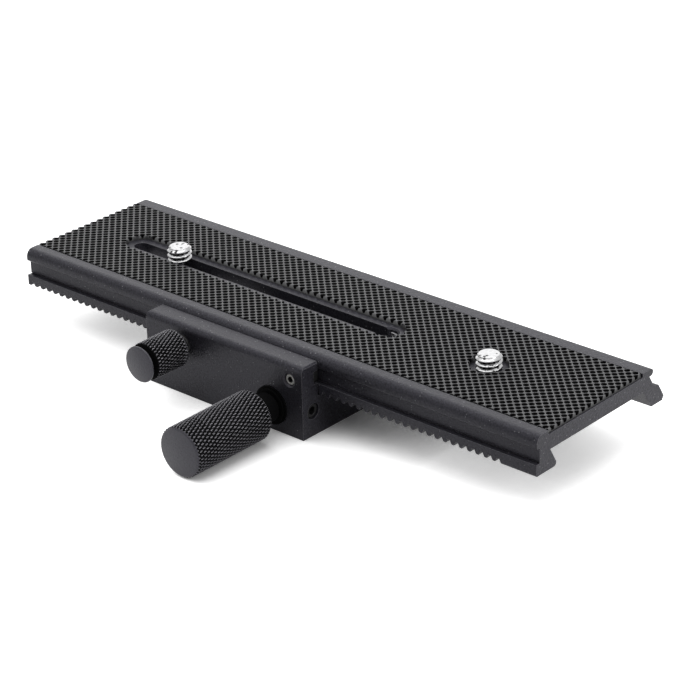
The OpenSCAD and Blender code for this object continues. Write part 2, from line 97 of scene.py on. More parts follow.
def share(name, description, default, top=1):
    """A property that holds a plain number from zero."""
    return FloatProperty(name=name, description=description, default=default, min=0, max=top)


# Settings


class RailFinishSettings(bpy.types.PropertyGroup):
    """Colours and surface of the metal and plastic pieces"""

    anodised: colour("Anodised black", "Colour of the black anodised aluminium", (0.036, 0.035, 0.0435))
    # The edges' colour is partly wear and partly a painted highlight along the edges.
    anodised_edge_and_highlight: colour("Anodised edge", "Colour of the anodising on edges", (0.27, 0.265, 0.29))
    anodised_roughness: share("Anodised roughness", "Roughness of the anodised aluminium", 0.34)
    grain_size: length("Grain size", "Size of the blasted grain", 0.00042)
    sheen: colour("Anodised sheen", "Tint of the anodising's reflections", (0.91, 0.89, 1.0))
    speck: colour("Specks", "Colour of the bright specks in the anodising", (0.2, 0.2, 0.215))
    # Groove black is painted shade: a near-black put where knurls, thread roots, the knob's neck and groove, the
    # front bush and its washer lie in shade.
    groove: colour("Groove black", "Colour inside knurls and thread roots", (0.004, 0.004, 0.0043))
    # The diamonds are a darker copy of the anodising, painted shade on the knurl; their edges are much lighter,
    # partly wear and partly a painted highlight.
    diamond: colour("Diamonds", "Colour of the knurl's diamonds", (0.016, 0.0155, 0.02))
    burnish_and_highlight: colour("Burnished edges", "Colour of the diamonds' worn edges", (0.7, 0.69, 0.72))
    edge_radius: length("Edge radius", "Radius that the edges seem to have", 0.00022)
    bright: colour("Bright plate", "Colour of the bright plated screws", (0.5, 0.5, 0.505))
    stain: colour("Stains", "Colour of the dark spots on the bright plate", (0.05, 0.05, 0.05))
    screw_end: colour("Screw end", "Colour of the gib screw's bright end", (0.8, 0.79, 0.76))
    steel: colour("Steel", "Colour of the plain steel pieces", (0.42, 0.42, 0.43))
    brass: colour("Brass", "Colour of the brass pieces", (0.60, 0.44, 0.18))
    black_steel: colour("Black steel", "Colour of the black set screws", (0.022, 0.022, 0.023))
    black_plastic: colour("Black plastic", "Colour of the black plastic pieces", (0.02, 0.02, 0.02))
    white_plastic: colour("White plastic", "Colour of the friction plug", (0.75, 0.73, 0.68))


class RailPadSettings(bpy.types.PropertyGroup):
    """Crossed ridges of the grip pad"""

    pitch: length("Ridge pitch", "Distance between two ridges of a family", 0.0016)
    pit: share("Pit share", "Width of a pit as a share of the pitch", 0.87)
    floor: share("Floor share", "Width of a pit's floor as a share of the pitch", 0.6)
    depth: length("Pit depth", "Depth of a pit below the ridges", 0.0009)
    crown: length("Crown", "Height of a ridge's crown over its edges", 0.0001)
    # The ridges' colour fades down to the pits' colour: painted light on the tops and painted shade in the pits.
    ridge: colour("Ridge colour", "Colour of the ridges", (0.043, 0.043, 0.0465))
    pit_painted_shade: colour("Pit colour", "Colour at the bottom of the pits", (0.002, 0.002, 0.0022))


class RailKnurlSettings(bpy.types.PropertyGroup):
    """Diamond knurl of the two knobs"""

    focus_starts: IntProperty(name="Focus starts", description="Grooves round the focus knob", default=42, min=8)
    lock_starts: IntProperty(name="Lock starts", description="Grooves round the lock knob", default=34, min=8)
    helix: FloatProperty(
        name="Helix angle", description="Angle between a groove and the knob's axis", default=math.radians(24),
        min=math.radians(10), max=math.radians(60), subtype="ANGLE",
    )
    depth: length("Knurl depth", "Depth of the grooves", 0.00042)
    flat: share("Flat share", "Width of a diamond's top as a share of the cell", 0.24)
    chamfer: length("Chamfer", "Chamfer of the knobs", 0.00035)


class RailThreadSettings(bpy.types.PropertyGroup):
    """Threads of the screws"""

    camera_pitch: length("Camera pitch", "Pitch of the camera threads", 0.00127)
    camera_depth: length("Camera depth", "Depth of the camera threads", 0.00062)
    lock_pitch: length("Lock pitch", "Pitch of the lock screw", 0.0008)
    lock_depth: length("Lock depth", "Depth of the lock screw's thread", 0.0004)
    turn_depth: length("Turn depth", "How far the turns stand into a tapped hole", 0.00022)


class RailStageSettings(bpy.types.PropertyGroup):
    """Floor, lamps and camera"""

    floor_size: length("Floor size", "Width of the floor", 6.0)
    floor_colour: colour("Floor colour", "Colour of the floor as the camera sees it", (1.0, 1.0, 1.0))
    bounce: colour("Bounce colour", "Colour of the floor's light on the object", (0.15, 0.15, 0.15))
    floor_lift: share("Floor lift", "Extra brightness that only the camera and reflections see", 0.86, 2)
    shade_reach: length("Shade reach", "How far from a piece the floor's extra brightness fades", 0.03)
    sky: share("Sky", "Brightness of the even light from all sides", 0.16, 5)
    back_power: share("Back lamp", "Power of the wide lamp behind the rail, in watts", 3.2, 500)
    top_power: share("Top lamp", "Power of the wide lamp above, in watts", 8.0, 500)
    side_power: share("Side lamp", "Power of the lamp beside the right end, in watts", 4.2, 500)
    lens: FloatProperty(name="Lens", description="Focal length in millimetres", default=131.13, min=10, max=500)


# Mesh tools


def as_object(name, bm, angle=SHARP_ANGLE):
    """Turns a bmesh into a smooth object whose edges stay sharp over the angle."""
    bmesh.ops.recalc_face_normals(bm, faces=bm.faces)
    mesh = bpy.data.meshes.new(name)
    bm.to_mesh(mesh)
    bm.free()
    mesh.shade_smooth()
    mesh.set_sharp_from_angle(angle=math.radians(angle))
    made = bpy.data.objects.new(name, mesh)
    bpy.context.collection.objects.link(made)
    return made


def turned(rows, columns, relief=None, groove=None, crest=0):
    """Turns rows of (along, radius, relieved) round the local Z axis into a closed mesh.

    Rows of radius zero close the ends. A relieved row lies no further out than relief(angle, along).
    Faces between rows marked for painted shade, and those that the relief lowers by more than groove, get the second
    material, which in the knobs and screws is painted shade.
    The other faces between relieved rows get the material of the number crest."""
    bm = bmesh.new()
    rings = []
    drops = {}
    relieved_corners = set()
    for along, radius, relieved in rows:
        if radius == 0:
            rings.append([bm.verts.new((0, 0, along))])
            continue
        ring = []
        for i in range(columns):
            angle = 2 * math.pi * i / columns
            r = min(radius, relief(angle, along)) if relieved is True else radius
            ring.append(bm.verts.new((r * math.cos(angle), r * math.sin(angle), along)))
            drops[ring[-1]] = radius if relieved == PAINTED_SHADE_ROW else radius - r
            if relieved is True:
                relieved_corners.add(ring[-1])
        rings.append(ring)
    for low, high in zip(rings, rings[1:]):
        for i in range(columns):
            j = (i + 1) % columns
            corners = [low[i % len(low)], low[j % len(low)], high[j % len(high)], high[i % len(high)]]
            corners = [c for k, c in enumerate(corners) if c not in corners[:k]]
            if len(corners) > 2:
                face = bm.faces.new(corners)
                drop = sum(drops.get(c, 0) for c in corners) / len(corners)
                if groove is not None and drop > groove:
                    face.material_index = 1
                elif all(c in relieved_corners for c in corners):
                    face.material_index = crest
    return bm


def steps(start, stop, size):
    """Evenly spaced values from start to stop, about size apart, both ends among them."""
    count = max(1, round(abs(stop - start) / size))
    return [start + (stop - start) * i / count for i in range(count + 1)]


def placed(obj, origin, axis):
    """Lays an object's local Z along the axis, with its start at the origin, in its mesh."""
    turn = UP.rotation_difference(axis).to_matrix().to_4x4()
    obj.data.transform(Matrix.Translation(origin) @ turn)


def cut_away(obj, tool, operation="DIFFERENCE"):
    """Applies a boolean of the tool to the object and deletes the tool."""
    modifier = obj.modifiers.new("cut", "BOOLEAN")
    modifier.operation = operation
    modifier.solver = "EXACT"
    modifier.object = tool
    depsgraph = bpy.context.evaluated_depsgraph_get()
    mesh = bpy.data.meshes.new_from_object(obj.evaluated_get(depsgraph))
    obj.modifiers.clear()
    obj.data = mesh
    bpy.data.objects.remove(tool)
    mesh.shade_smooth()
    mesh.set_sharp_from_angle(angle=math.radians(SHARP_ANGLE))


def block(name, low, high):
    """A box between two corners, used as a cutting tool."""
    bm = bmesh.new()
    bmesh.ops.create_cube(bm, size=1)
    size = Vector(high) - Vector(low)
    middle = (Vector(high) + Vector(low)) / 2
    bmesh.ops.transform(bm, matrix=Matrix.Translation(middle) @ Matrix.Diagonal((*size, 1)), verts=bm.verts)
    return as_object(name, bm)


def thread_relief(radius, pitch, depth):
    """Radius of a right-handed thread with sloping flanks, narrow crests and round roots."""
    crest_share, flank_share = 0.16, 0.72

    def relief(angle, along):
        """The radius at a turn and a height along the thread."""
        phase = (along / pitch - angle / (2 * math.pi)) % 1
        off_crest = min(phase, 1 - phase) * 2
        return radius - depth * min(1, max(0, (off_crest - crest_share) / flank_share))

    return relief


def knurl_relief(radius, depth, starts, lead, flat):
    """Radius of a diamond knurl made of two crossing families of grooves, one deeper than the other."""
    families = ((1, 1), (-1, 0.72))

    def relief(angle, along):
        """The radius at a turn and a height along the knob."""
        drop = 0
        for side, share_of_depth in families:
            phase = (starts * angle / (2 * math.pi) + side * along / lead) % 1
            rise = min(1, min(phase, 1 - phase) * 2 / (1 - flat))
            drop = max(drop, share_of_depth * depth * (1 - rise))
        return radius - drop

    return relief


def knurled(name, rows, starts, relief, depth):
    """A knob turned with eight columns to a groove, whose low parts wear painted shade and whose diamonds wear a
    material of their own.
    """
    return as_object(name, turned(rows, 8 * starts, relief, groove=0.38 * depth, crest=2), 30)


def box_of(node):
    """Lowest and highest corners of a CAD node and the middle of its box."""
    low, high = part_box(node)
    low, high = Vector(low), Vector(high)
    return low, high, (low + high) / 2


# Materials


def node_at(tree, kind, **values):
    """Adds a node and sets its attributes."""
    node = tree.nodes.new(kind)
    for key, value in values.items():
        setattr(node, key, value)
    return node


def feed(tree, value, socket):
    """Links a socket to another socket, or sets it to a plain value."""
    if isinstance(value, bpy.types.NodeSocket):
        tree.links.new(value, socket)
    else:
        socket.default_value = value


def reckoned(tree, operation, first, second, clamp=False):
    """The result of a sum, product, share or comparison of two sockets or numbers."""
    node = node_at(tree, "ShaderNodeMath", operation=operation, use_clamp=clamp)
    feed(tree, first, node.inputs[0])
    feed(tree, second, node.inputs[1])
    return node.outputs[0]


def ranged(tree, value, low=0, high=1, start=0, stop=1):
    """Maps a socket's values from start and stop to low and high."""
    node = node_at(tree, "ShaderNodeMapRange")
    node.inputs["From Min"].default_value = start
    node.inputs["From Max"].default_value = stop
    node.inputs["To Min"].default_value = low
    node.inputs["To Max"].default_value = high
    tree.links.new(value, node.inputs["Value"])
    return node.outputs["Result"]


def mixed(tree, factor, low, high):
    """Mixes two colours by a factor socket and returns the result's socket."""
    mix = node_at(tree, "ShaderNodeMix", data_type="RGBA")
    for socket, value in ((mix.inputs[6], low), (mix.inputs[7], high)):
        feed(tree, value if isinstance(value, bpy.types.NodeSocket) else (*value, 1), socket)
    tree.links.new(factor, mix.inputs[0])
    return mix.outputs[2]


def scaled(base, factor):
    """A colour made lighter or darker."""
    return [min(1, channel * factor) for channel in base]


def noise(tree, place, size, detail):
    """A noise over a place socket, with spots of a size."""
    texture = node_at(tree, "ShaderNodeTexNoise")
    texture.inputs["Detail"].default_value = detail
    tree.links.new(place, texture.inputs["Vector"])
    tree.links.new(reckoned(tree, "DIVIDE", 1, size), texture.inputs["Scale"])
    return texture.outputs["Fac"]


def relief_on(tree, shader, height, strength, distance, normal=None):
    """Gives a shader a bump from a height socket, over a rounded normal if there is one."""
    relief = node_at(tree, "ShaderNodeBump")
    relief.inputs["Strength"].default_value = strength
    relief.inputs["Distance"].default_value = distance
    tree.links.new(height, relief.inputs["Height"])
    if normal:
        tree.links.new(normal, relief.inputs["Normal"])
    tree.links.new(relief.outputs["Normal"], shader.inputs["Normal"])


def open_air(tree, distance, samples, lean=None):
    """How open a point is to the air within a distance, looking along a leaning direction if there is one."""
    node = node_at(tree, "ShaderNodeAmbientOcclusion", samples=samples)
    node.inputs["Distance"].default_value = distance
    if lean:
        direction = node_at(tree, "ShaderNodeCombineXYZ")
        for axis, part in zip("XYZ", Vector(lean).normalized()):
            direction.inputs[axis].default_value = part
        tree.links.new(direction.outputs[0], node.inputs["Normal"])
    return node.outputs["AO"]


def group_with(name, inputs, outputs):
    """Starts a shader node group with named sockets."""
    group = bpy.data.node_groups.new(name, "ShaderNodeTree")
    for label, kind, default in inputs:
        socket = group.interface.new_socket(name=label, in_out="INPUT", socket_type=kind)
        socket.default_value = default
    for label, kind in outputs:
        group.interface.new_socket(name=label, in_out="OUTPUT", socket_type=kind)
    return group, node_at(group, "NodeGroupInput"), node_at(group, "NodeGroupOutput")


def blasted_grain():
    """Fine blasted grain with a faint drift of tone and a few specks, each a share of a cell wide."""
    name = "Blasted grain"
    cells_in_grain, plain_cells = 0.4, 0.62
    if name in bpy.data.node_groups:
        return bpy.data.node_groups[name]
    group, given, result = group_with(
        name,
        [("Size", "NodeSocketFloat", 0.0002), ("Drift", "NodeSocketFloat", 0.02), ("Reach", "NodeSocketFloat", 0.13)],
        [("Height", "NodeSocketFloat"), ("Tone", "NodeSocketFloat"), ("Speck", "NodeSocketFloat")],
    )
    links = group.links
    size = given.outputs["Size"]
    place = node_at(group, "ShaderNodeTexCoord").outputs["Object"]
    cells = node_at(group, "ShaderNodeTexVoronoi")
    links.new(place, cells.inputs["Vector"])
    links.new(reckoned(group, "DIVIDE", cells_in_grain, size), cells.inputs["Scale"])
    channels = node_at(group, "ShaderNodeSeparateColor")
    links.new(cells.outputs["Color"], channels.inputs[0])
    near = reckoned(group, "LESS_THAN", cells.outputs["Distance"], given.outputs["Reach"])
    chosen = reckoned(group, "GREATER_THAN", channels.outputs[0], plain_cells)
    links.new(reckoned(group, "MULTIPLY", near, chosen), result.inputs["Speck"])
    links.new(noise(group, place, size, 3), result.inputs["Height"])
    links.new(noise(group, place, given.outputs["Drift"], 2), result.inputs["Tone"])
    return group


def edge_wear_and_highlight():
    """Finds edges from a rounded normal, and gives a mask and that normal."""
    name = "Edge wear"
    flat, round_over = 0.995, 0.86
    if name in bpy.data.node_groups:
        return bpy.data.node_groups[name]
    group, given, result = group_with(
        name,
        [("Radius", "NodeSocketFloat", 0.0002), ("Strength", "NodeSocketFloat", 1.0)],
        [("Mask", "NodeSocketFloat"), ("Normal", "NodeSocketVector")],
    )
    links = group.links
    rounded = node_at(group, "ShaderNodeBevel", samples=4)
    links.new(given.outputs["Radius"], rounded.inputs["Radius"])
    plain = node_at(group, "ShaderNodeNewGeometry")
    dot = node_at(group, "ShaderNodeVectorMath", operation="DOT_PRODUCT")
    links.new(rounded.outputs["Normal"], dot.inputs[0])
    links.new(plain.outputs["Normal"], dot.inputs[1])
    away = ranged(group, dot.outputs["Value"], start=flat, stop=round_over)
    mask = reckoned(group, "MULTIPLY", away, given.outputs["Strength"], clamp=True)
    links.new(mask, result.inputs["Mask"])
    links.new(rounded.outputs["Normal"], result.inputs["Normal"])
    return group


def placed_group(tree, group, **values):
    """Places a node group in a material with its own values."""
    node = node_at(tree, "ShaderNodeGroup", node_tree=group)
    for label, value in values.items():
        node.inputs[label].default_value = value
    return node


def blank(name):
    """A new material, its node tree and its principled shader."""
    material = bpy.data.materials.new(name)
    material.use_nodes = True
    tree = material.node_tree
    return material, tree, tree.nodes["Principled BSDF"]


def seen_rays(tree):
    """One for the rays of the camera, of reflections and of see-through pieces, and zero for the light's own rays."""
    path = node_at(tree, "ShaderNodeLightPath")
    total = path.outputs["Is Camera Ray"]
    for kind in ("Is Glossy Ray", "Is Transmission Ray"):
        total = reckoned(tree, "ADD", total, path.outputs[kind], clamp=True)
    return total


def finish_material(
    name, base, edge, roughness, grain, drift, bump, radius, wear, metallic=0.0, specular=0.5, spread=0.06,
    grit=0.1, speck=None, reach=0.13, tint=(1, 1, 1)
):
    """A finish with blasted or turned grain, a drift of tone, edges in a colour of their own and, if given, specks of
    a colour.

    Grain and drift are the sizes of the fine and the broad pattern. The grain's height changes the colour by grit
    and the roughness by spread. Radius and wear are the width and the strength of the edges' colour, which is wear
    and, on the black anodising and the knobs' diamonds, also a painted highlight. Reach is the size of a speck as a
    share of its cell."""
    if name in bpy.data.materials:
        return bpy.data.materials[name]
    tone_share, bump_share = 0.15, 0.25
    material, tree, shader = blank(name)
    shader.inputs["Metallic"].default_value = metallic
    shader.inputs["Specular IOR Level"].default_value = specular
    shader.inputs["Specular Tint"].default_value = (*tint, 1)
    texture = placed_group(tree, blasted_grain(), Size=grain, Drift=drift, Reach=reach)
    edges = placed_group(tree, edge_wear_and_highlight(), Radius=radius, Strength=wear)
    height = texture.outputs["Height"]
    fine = ranged(tree, height, -0.7, 1.7)
    tones = [
        mixed(tree, fine, scaled(base, 1 + tone - grit), scaled(base, 1 + tone + grit))
        for tone in (-tone_share, tone_share)
    ]
    toned = mixed(tree, texture.outputs["Tone"], *tones)
    if speck:
        toned = mixed(tree, texture.outputs["Speck"], toned, speck)
    tree.links.new(mixed(tree, edges.outputs["Mask"], toned, edge), shader.inputs["Base Color"])
    tree.links.new(ranged(tree, height, roughness - spread, roughness + spread), shader.inputs["Roughness"])
    relief_on(tree, shader, height, bump, bump_share * grain, edges.outputs["Normal"])
    return material


def anodised_material():
    """Black anodised aluminium, whose light edges are partly wear and partly a painted highlight."""
    s = bpy.context.scene.rail_finish
    return finish_material(
        "Black anodised aluminium", s.anodised, s.anodised_edge_and_highlight, s.anodised_roughness, grain=s.grain_size, drift=0.02,
        bump=0.9, radius=s.edge_radius, wear=0.8, specular=0.2, spread=0.1, grit=0.6, speck=s.speck, reach=0.15,
        tint=s.sheen,
    )


def knob_materials():
    """Black anodised aluminium of the knobs' faces, painted shade in the grooves, and a darker copy of the anodising
    on the diamonds, whose light edges are wear and a painted highlight.
    """
    s = bpy.context.scene.rail_finish
    faces = finish_material(
        "Knob black anodising", s.anodised, s.anodised_edge_and_highlight, 0.3, grain=s.grain_size, drift=0.01, bump=0.5,
        radius=s.edge_radius, wear=1.0, specular=0.4, grit=0.25, tint=s.sheen,
    )
    # A darker copy of the anodising with very light edges: painted shade on the knurl and a painted highlight on its
    # edges, with some wear.
    diamonds = finish_material(
        "Burnished diamonds", s.diamond, s.burnish_and_highlight, 0.28, grain=s.grain_size, drift=0.003, bump=0.5,
        radius=s.edge_radius, wear=1.0, tint=s.sheen,
    )
    return [faces, painted_shade_material(), diamonds]


def painted_shade_material():
    """Painted shade: a dull black put where knurls, thread roots, the focus knob's neck, the lock knob's groove, the
    front bush and its washer lie in shade.
    """
    s = bpy.context.scene.rail_finish
    return finish_material(
        "Groove black", s.groove, scaled(s.groove, 2), 0.7, grain=s.grain_size, drift=0.004, bump=0.3,
        radius=0.00004, wear=0.2, specular=0.03,
    )


def bright_material():
    """Bright plated steel of the screws, with a few dark stains."""
    s = bpy.context.scene.rail_finish
    return finish_material(
        "Bright plated steel", s.bright, scaled(s.bright, 1.2), 0.13, grain=0.0005, drift=0.003, bump=0.6,
        radius=0.00008, wear=0.5, metallic=1.0, specular=0.2, spread=0.04, speck=s.stain, reach=0.3,
    )


def screw_end_material():
    """Bright steel of the gib screw's end, with painted shade that darkens it deep in its socket and where it sits in
    its hole.
    """
    s = bpy.context.scene.rail_finish
    material = finish_material(
        "Bright screw end", s.screw_end, s.screw_end, 0.3, grain=0.0003, drift=0.004, bump=0.3, radius=0.00008,
        wear=0.5, metallic=0.4,
    )
    tree = material.node_tree
    colour_in = tree.nodes["Principled BSDF"].inputs["Base Color"]
    bright = colour_in.links[0].from_socket
    # Painted shade: the end turns groove black where little air is open to it, in the socket and at the hole's wall.
    outside_painted_shade = ranged(tree, open_air(tree, 0.002, 8), start=0.35, stop=0.6)
    tree.links.new(mixed(tree, outside_painted_shade, s.groove, bright), colour_in)
    return material


def turned_metal(name, base, roughness):
    """Bare metal with the fine marks of a lathe."""
    return finish_material(
        name, base, scaled(base, 1.3), roughness, grain=0.0003, drift=0.006, bump=0.4, radius=0.0001, wear=0.6,
        metallic=1.0,
    )


def steel_material():
    """Turned steel."""
    return turned_metal("Turned steel", bpy.context.scene.rail_finish.steel, 0.34)


def brass_material():
    """Turned brass."""
    return turned_metal("Turned brass", bpy.context.scene.rail_finish.brass, 0.32)


def black_steel_material():
    """Blackened steel of the small set screws."""
    base = bpy.context.scene.rail_finish.black_steel
    return finish_material(
        "Blackened steel", base, scaled(base, 3), 0.36, grain=0.0003, drift=0.004, bump=0.3, radius=0.0001, wear=0.8,
        metallic=0.4,
    )


def black_plastic_material():
    """Moulded black plastic."""
    base = bpy.context.scene.rail_finish.black_plastic
    return finish_material(
        "Black plastic", base, scaled(base, 1.6), 0.5, grain=0.0004, drift=0.008, bump=0.4, radius=0.0001, wear=0.5
    )


def white_plastic_material():
    """Moulded white plastic."""
    base = bpy.context.scene.rail_finish.white_plastic
    return finish_material(
        "White plastic", base, base, 0.45, grain=0.0004, drift=0.008, bump=0.3, radius=0.0001, wear=0.2
    )


def rubber_with_painted_light(name, specular, top, bottom):
    """Black rubber whose colour fades from the ridge colour at the top to near black at the bottom: painted light on
    the ridges and painted shade in the pits.
    """
    s = bpy.context.scene.rail_pad
    material, tree, shader = blank(name)
    shader.inputs["Specular IOR Level"].default_value = specular
    place = node_at(tree, "ShaderNodeTexCoord")
    axes = node_at(tree, "ShaderNodeSeparateXYZ")
    tree.links.new(place.outputs["Object"], axes.inputs[0])
    height = ranged(tree, axes.outputs["Z"], start=bottom, stop=top)
    texture = placed_group(tree, blasted_grain(), Size=0.00025, Drift=0.012)
    ridge = mixed(tree, texture.outputs["Tone"], s.ridge, scaled(s.ridge, 1.25))
    tree.links.new(mixed(tree, height, s.pit_painted_shade, ridge), shader.inputs["Base Color"])
    tree.links.new(ranged(tree, height, 0.75, 0.42), shader.inputs["Roughness"])
    relief_on(tree, shader, texture.outputs["Height"], 0.4, 0.00003)
    return material


def dress(names, material):
    """Gives CAD nodes a material."""
    for name in names:
        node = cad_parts[name]
        if not node.data.materials:
            node.data.materials.append(material)
        for i in range(len(node.material_slots)):
            node.material_slots[i].material = material


def settle(obj, materials, body):
    """Gives a piece its materials and body."""
    for material in materials:
        obj.data.materials.append(material)
    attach(obj, body)


def adopt(obj, materials, node, body):
    """Settles a piece in place of its CAD node."""
    settle(obj, materials, body)
    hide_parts(node)


# Operators


class RailPartOperator(bpy.types.Operator):
    """Shared settings of the operators that make a piece"""

    bl_options = {"REGISTER", "UNDO"}


class RAIL_OT_plate_and_carriage(RailPartOperator):
    """Gives the rail plate and the carriage their black anodised finish"""

    bl_idname = "rail.plate_and_carriage"
    bl_label = "Finish plate and carriage"

    def execute(self, context):
        dress(["rail_plate", "carriage_body"], anodised_material())
        return {"FINISHED"}


class RAIL_OT_inner_pieces(RailPartOperator):
    """Gives the bushes, gears, washers, gib and set screws their finishes"""

    bl_idname = "rail.inner_pieces"
    bl_label = "Finish inner pieces"

    def execute(self, context):
        dress(["gib_set_screw"], screw_end_material())
        dress(["tension_set_screw", "focus_knob_set_screw"], black_steel_material())
        dress(["stop_pin", "tripod_insert", "reducer_bush", "pinion_shaft"], steel_material())
        dress(["rear_bush", "pinion_gear", "lock_tip"], brass_material())
        dress(["gib_strip", "slot_screw_washer", "rear_screw_washer"], black_plastic_material())
        # The front bush and its thrust washer are dark pieces that wear the painted shade black, which deepens the
        # shade behind the focus knob.
        dress(["front_bush", "focus_thrust_washer"], painted_shade_material())
        dress(["friction_plug"], white_plastic_material())
        return {"FINISHED"}


class RAIL_OT_grip_pad(RailPartOperator):
    """Makes the grip pad with its two crossing families of ridges"""

    bl_idname = "rail.grip_pad"
    bl_label = "Make grip pad"

    def execute(self, context):
        s = context.scene.rail_pad
        low, high, middle = box_of("grip_pad")
        span = int((high - low).xy.length / 2 / s.pitch + 2)
        diagonal = math.sqrt(0.5) * s.pitch
        top, rim, floor = high.z - HAIR, high.z - s.crown, high.z - s.depth
        bm = bmesh.new()
        corners = {}

        def place(u, v, z):
            """The point that lies u and v pitches along the two families of ridges."""
            return middle.x + (u + v) * diagonal, middle.y + (u - v) * diagonal, z

        def corner(i, j):
            """The crossing of two ridges, made once."""
            if (i, j) not in corners:
                corners[i, j] = bm.verts.new(place(i, j, top))
            return corners[i, j]

        def inside(i, j):
            """Whether a pit lies on the pad or at most two pitches past its sides."""
            x = (i + j + 1) * diagonal
            y = (i - j) * diagonal
            return abs(x) < (high.x - low.x) / 2 + 2 * s.pitch and abs(y) < (high.y - low.y) / 2 + 2 * s.pitch

        def octagon(i, j, width, z):
            """The eight corners of a pit's edge at a height."""
            reach = width / 2 / math.cos(math.pi / 8)
            turns = [math.pi / 8 + k * math.pi / 4 for k in range(8)]
            return [
                bm.verts.new(place(i + 0.5 + reach * math.cos(turn), j + 0.5 + reach * math.sin(turn), z))
                for turn in turns
            ]

        for i in range(-span, span):
            for j in range(-span, span):
                if not inside(i, j):
                    continue
                edge = octagon(i, j, s.pit, rim)
                base = octagon(i, j, s.floor, floor)
                square = [corner(i + 1, j + 1), corner(i, j + 1), corner(i, j), corner(i + 1, j)]
                sunk = [bm.faces.new(base)]
                for k in range(8):
                    n = (k + 1) % 8
                    sunk.append(bm.faces.new([edge[k], edge[n], base[n], base[k]]))
                for face in sunk:
                    face.material_index = 1
                for k in range(4):
                    first, second = edge[2 * k], edge[2 * k + 1]
                    following = edge[(2 * k + 2) % 8]
                    bm.faces.new([first, second, square[k]])
                    bm.faces.new([second, following, square[(k + 1) % 4], square[k]])
        self.close_below(bm, low.z - MM)
        pad = as_object("grip_pad_ridges", bm, 50)
        limit = self.limit(low.z, high.z)
        # Both rubbers fade from the ridge colour at the top to near black at the bottom, painted light and shade; the
        # pits' one reaches its ridge colour far above the ridges, so the pits stay nearly black.
        ridges = rubber_with_painted_light("Ridged rubber", 0.95, top, floor)
        pits = rubber_with_painted_light("Pitted rubber", 0.015, top + 10 * s.depth, floor)
        adopt(pad, [ridges, pits], "grip_pad", "rail")
        cut_away(pad, limit, "INTERSECT")
        return {"FINISHED"}

    def limit(self, bottom, top):
        """The pad's outline with its openings, drawn up from the CAD solid's underside to the ridges."""
        bm = bmesh.new()
        bm.from_mesh(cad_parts["grip_pad"].data)
        above = [face for face in bm.faces if max(v.co.z for v in face.verts) > bottom + HAIR]
        bmesh.ops.delete(bm, geom=above, context="FACES")
        bmesh.ops.remove_doubles(bm, verts=bm.verts, dist=HAIR / 10)
        drawn = bmesh.ops.extrude_face_region(bm, geom=bm.faces[:], use_keep_orig=True)["geom"]
        for part in drawn:
            if isinstance(part, bmesh.types.BMVert):
                part.co.z = top
        return as_object("pad_limit", bm)

    def close_below(self, bm, z):
        """Closes the ridged sheet into a solid that reaches down to z."""
        rim = [e for e in bm.edges if e.is_boundary]
        dropped = bmesh.ops.extrude_edge_only(bm, edges=rim)["geom"]
        for part in dropped:
            if isinstance(part, bmesh.types.BMVert):
                part.co.z = z
        bottom = [e for e in bm.edges if e.is_boundary]
        bmesh.ops.contextual_create(bm, geom=bottom)


class RAIL_OT_focus_knob(RailPartOperator):
    """Makes the knurled focus knob with its neck and the bore for its shaft"""

    bl_idname = "rail.focus_knob"
    bl_label = "Make focus knob"

    def execute(self, context):
        s = context.scene.rail_knurl
        low, high, middle = box_of("focus_knob")
        shaft_low, shaft_high, _ = box_of("pinion_shaft")
        screw = box_of("focus_knob_set_screw")[2]
        radius = (high.x - low.x) / 2
        end = high.y - low.y
        neck_r = 0.00365
        neck = 2 * (high.y - screw.y)
        bore_r = (shaft_high.x - shaft_low.x) / 2 + HAIR
        bore = high.y - shaft_low.y + 10 * HAIR
        hole_r, hole_depth = 0.00152, 0.004
        lead = 2 * math.pi * radius / s.focus_starts / math.tan(s.helix)
        relief = knurl_relief(radius, s.depth, s.focus_starts, lead, s.flat)
        c = s.chamfer
        # The bore, the sunk neck in painted shade, the knurl and the rounded face
        rows = [(bore, 0, False), (bore, bore_r, False), (0, bore_r, False)]
        rows += [(0, neck_r - c, False), (c, neck_r, PAINTED_SHADE_ROW), (neck, neck_r, PAINTED_SHADE_ROW), (neck, radius - 2 * c, PAINTED_SHADE_ROW)]
        rows += [(neck + HAIR, radius - 1.6 * c, True)]
        rows += [(along, radius, True) for along in steps(neck + 1.6 * c, end - 1.2 * c, lead / 8)]
        rows += [(end - 0.4 * c, radius - c, False), (end - 0.15 * c, radius - 1.35 * c, False)]
        rows += [(end, radius - 1.9 * c, False), (end, 0, False)]
        knob = knurled("focus_knob_knurled", rows, s.focus_starts, relief, s.depth)
        placed(knob, Vector((middle.x, high.y, middle.z)), FRONT)
        adopt(knob, knob_materials(), "focus_knob", "focus")
        hole = turned([(0, 0, False), (0, hole_r, False), (hole_depth, hole_r, False), (hole_depth, 0, False)], 32)
        tool = as_object("screw_hole", hole)
        out = Vector((screw.x - middle.x, 0, screw.z - middle.z)).normalized()
        placed(tool, Vector((middle.x, screw.y, middle.z)) + out * bore_r * 0.9, out)
        cut_away(knob, tool)
        return {"FINISHED"}


